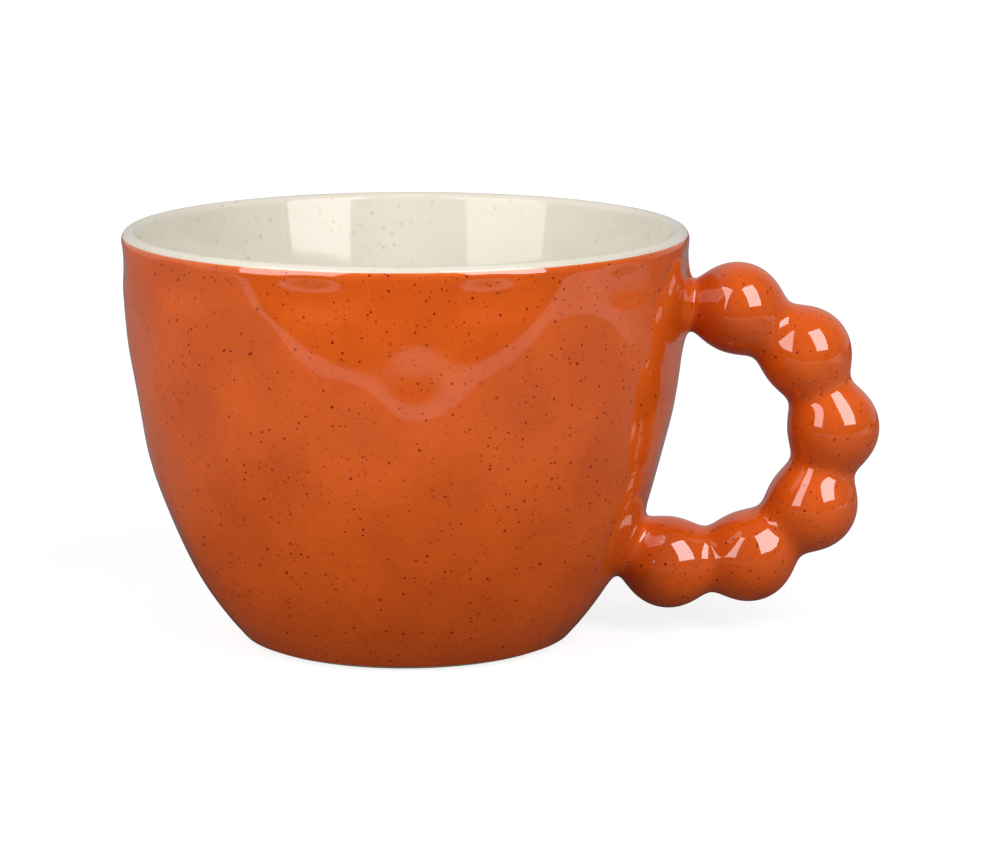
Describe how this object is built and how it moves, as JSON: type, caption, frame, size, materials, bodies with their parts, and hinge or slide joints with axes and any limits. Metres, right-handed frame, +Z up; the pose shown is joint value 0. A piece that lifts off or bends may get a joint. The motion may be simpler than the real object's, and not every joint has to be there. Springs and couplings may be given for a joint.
{
  "type": "breakfast cup",
  "caption": "Wide glazed stoneware breakfast cup with thumb-marked walls, a pale lining, a bare foot ring and a loop handle made of joined beads, for hot drinks or soup.",
  "frame": {"origin": "centre of the overall footprint, handle included, on the plane that the foot ring stands on", "axes": "+Z up out of the cup's mouth, +X towards the handle, -Y the side that the picture shows"},
  "size_m": [0.1544, 0.1148, 0.0842],
  "materials": {
    "clay": "bare fired stoneware",
    "cream_glaze": "glossy, a few soft specks",
    "orange_glaze": "glossy, dark speckles"
  },
  "bodies": {
    "root": {"cup_body": "clay", "lining_glaze": "cream_glaze", "outer_glaze": "orange_glaze", "base_glaze": "orange_glaze", "upper_handle_root": "orange_glaze", "lower_handle_root": "orange_glaze", "handle_bead_1": "orange_glaze", "handle_bead_2": "orange_glaze", "handle_bead_3": "orange_glaze", "handle_bead_4": "orange_glaze", "handle_bead_5": "orange_glaze", "handle_bead_6": "orange_glaze"}
  },
  "joints": []
}
